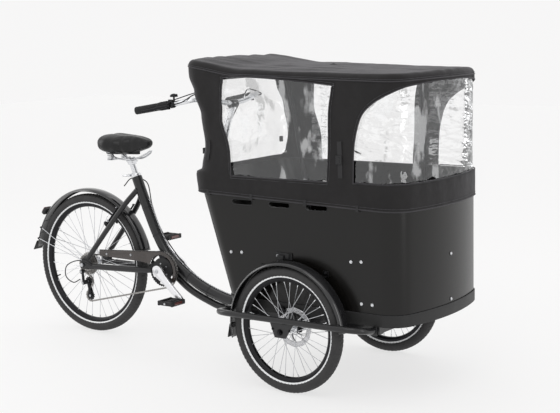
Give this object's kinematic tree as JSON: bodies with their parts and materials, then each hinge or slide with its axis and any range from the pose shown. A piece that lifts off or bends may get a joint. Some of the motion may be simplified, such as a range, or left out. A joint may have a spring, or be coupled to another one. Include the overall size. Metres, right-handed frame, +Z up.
{
  "type": "cargo bicycle",
  "caption": "Front-loading cargo tricycle: a curved box between small front wheels under a rain canopy with clear windows, steered by swept bars, with a pedalled rear wheel.",
  "frame": {"origin": "on the ground, under the middle of the machine's length and width", "axes": "+X points forward, +Y to the rider's left, +Z up"},
  "size_m": [2.3014, 0.892, 1.3046],
  "materials": {
    "black_paint": "gloss",
    "black_alloy": "satin",
    "silver_alloy": "satin",
    "steel": "satin",
    "tyre_rubber": "matte",
    "grip_rubber": "matte",
    "black_plastic": "matte",
    "gloss_plastic": "gloss",
    "box_panel": "satin",
    "box_base": "satin",
    "canopy_fabric": "matte",
    "clear_film": "gloss",
    "saddle_cover": "gloss",
    "red_lens": "gloss"
  },
  "bodies": {
    "rear_frame": {"rear_frame": "black_paint", "seat_clamp": "silver_alloy", "rear_axle": "steel", "rear_fender": "gloss_plastic", "rear_fender_stay": "steel", "tail_light": "red_lens", "chain": "steel", "chain_guard": "gloss_plastic", "derailleur_body": "black_alloy", "rear_brake_cable": "black_plastic", "headset_bearing": "steel"},
    "front_module": {"front_subframe": "black_paint", "kingpin": "steel", "box_floor": "box_base", "box_wall": "box_panel", "bench": "box_panel", "canopy_frame": "black_alloy", "canopy_cover": "canopy_fabric", "window_front": "clear_film", "window_rear": "clear_film", "window_left": "clear_film", "window_right": "clear_film", "handlebar": "silver_alloy", "bell": "black_alloy", "grip_left": "grip_rubber", "grip_right": "grip_rubber", "guard_rail_left": "black_paint", "guard_rail_right": "black_paint", "front_fender_left": "gloss_plastic", "front_fender_right": "gloss_plastic"},
    "front_wheel_left": {"front_left_tyre": "tyre_rubber", "front_left_rim": "black_alloy", "front_left_hub": "silver_alloy", "brake_rotor_left": "steel"},
    "front_wheel_right": {"front_right_tyre": "tyre_rubber", "front_right_rim": "black_alloy", "front_right_hub": "silver_alloy", "brake_rotor_right": "steel"},
    "rear_wheel": {"rear_tyre": "tyre_rubber", "rear_rim": "black_alloy", "rear_hub": "silver_alloy"},
    "cassette": {"cassette": "steel"},
    "crank": {"chainring": "black_alloy", "crank_arm_left": "silver_alloy", "crank_arm_right": "silver_alloy"},
    "pedal_left": {"pedal_left": "black_plastic"},
    "pedal_right": {"pedal_right": "black_plastic"},
    "derailleur_cage": {"derailleur_cage": "black_alloy"},
    "guide_pulley": {"guide_pulley": "black_plastic"},
    "tension_pulley": {"tension_pulley": "black_plastic"},
    "rear_brake_arm_left": {"rear_brake_arm_left": "black_alloy"},
    "rear_brake_arm_right": {"rear_brake_arm_right": "black_alloy"},
    "seatpost": {"seatpost": "silver_alloy", "saddle_rails": "steel", "saddle_shell": "black_plastic", "saddle_pad": "saddle_cover"},
    "seat_clamp_lever": {"seat_clamp_lever": "silver_alloy"},
    "twist_shifter": {"twist_shifter": "grip_rubber"},
    "brake_lever_left": {"brake_lever_left": "black_alloy"},
    "brake_lever_right": {"brake_lever_right": "black_alloy"}
  },
  "joints": [
    {"name": "steering", "type": "hinge", "parent": "rear_frame", "child": "front_module", "pos_m": [0.4267, 0, 0.25], "axis": [0, 0, 1], "range_deg": [-40, 40]},
    {"name": "front_wheel_left_spin", "type": "hinge", "parent": "front_module", "child": "front_wheel_left", "pos_m": [0.6267, 0.377, 0.254], "axis": [0, 1, 0], "continuous": true},
    {"name": "front_wheel_right_spin", "type": "hinge", "parent": "front_module", "child": "front_wheel_right", "pos_m": [0.6267, -0.377, 0.254], "axis": [0, 1, 0], "continuous": true},
    {"name": "rear_wheel_spin", "type": "hinge", "parent": "rear_frame", "child": "rear_wheel", "pos_m": [-0.7713, 0, 0.33], "axis": [0, 1, 0], "continuous": true},
    {"name": "crank_turn", "type": "hinge", "parent": "rear_frame", "child": "crank", "pos_m": [-0.2968, 0, 0.346], "axis": [0, 1, 0], "continuous": true},
    {"name": "cassette_turn", "type": "hinge", "parent": "rear_frame", "child": "cassette", "pos_m": [-0.7713, 0, 0.33], "axis": [0, 1, 0], "continuous": true},
    {"name": "pedal_left_spin", "type": "hinge", "parent": "crank", "child": "pedal_left", "pos_m": [-0.42499, 0.085, 0.46143], "axis": [0, 1, 0], "continuous": true},
    {"name": "pedal_right_spin", "type": "hinge", "parent": "crank", "child": "pedal_right", "pos_m": [-0.16861, -0.085, 0.23057], "axis": [0, 1, 0], "continuous": true},
    {"name": "derailleur_cage_swing", "type": "hinge", "parent": "rear_frame", "child": "derailleur_cage", "pos_m": [-0.7613, -0.048, 0.248], "axis": [0, 1, 0], "range_deg": [-30, 20], "stiffness_Nm_per_rad": 0.3, "deforming": ["chain"]},
    {"name": "guide_pulley_spin", "type": "hinge", "parent": "derailleur_cage", "child": "guide_pulley", "pos_m": [-0.7613, -0.048, 0.248], "axis": [0, 1, 0], "continuous": true},
    {"name": "tension_pulley_spin", "type": "hinge", "parent": "derailleur_cage", "child": "tension_pulley", "pos_m": [-0.7513, -0.048, 0.18], "axis": [0, 1, 0], "continuous": true},
    {"name": "rear_brake_arm_left_pivot", "type": "hinge", "parent": "rear_frame", "child": "rear_brake_arm_left", "pos_m": [-0.60651, 0.06056, 0.52031], "axis": [-0.7597, 0, 0.6503], "range_deg": [-10, 0]},
    {"name": "rear_brake_arm_right_pivot", "type": "hinge", "parent": "rear_frame", "child": "rear_brake_arm_right", "pos_m": [-0.60651, -0.06056, 0.52031], "axis": [-0.7597, 0, 0.6503], "range_deg": [0, 10]},
    {"name": "seatpost_slide", "type": "slide", "parent": "rear_frame", "child": "seatpost", "axis": [-0.3829, 0, 0.9238], "range_m": [-0.03, 0.06]},
    {"name": "seat_clamp_lever_pivot", "type": "hinge", "parent": "rear_frame", "child": "seat_clamp_lever", "pos_m": [-0.50836, -0.0165, 0.76239], "axis": [0, 1, 0], "range_deg": [0, 60]},
    {"name": "twist_shifter_turn", "type": "hinge", "parent": "front_module", "child": "twist_shifter", "pos_m": [-0.0333, -0.27, 1.115], "axis": [-0.9424, -0.2925, -0.1625], "range_deg": [-60, 60]},
    {"name": "brake_lever_left_pull", "type": "hinge", "parent": "front_module", "child": "brake_lever_left", "pos_m": [-0.02199, 0.29249, 1.11295], "axis": [0, 0, 1], "range_deg": [0, 10], "stiffness_Nm_per_rad": 0.3},
    {"name": "brake_lever_right_pull", "type": "hinge", "parent": "front_module", "child": "brake_lever_right", "pos_m": [-0.02199, -0.29249, 1.11295], "axis": [0, 0, -1], "range_deg": [0, 10], "stiffness_Nm_per_rad": 0.3}
  ],
  "couplings": [
    {"joint": "cassette_turn", "follows": "crank_turn", "ratio": 2.1111},
    {"joint": "rear_brake_arm_left_pivot", "follows": "brake_lever_right_pull", "ratio": -1},
    {"joint": "rear_brake_arm_right_pivot", "follows": "brake_lever_right_pull", "ratio": 1}
  ]
}
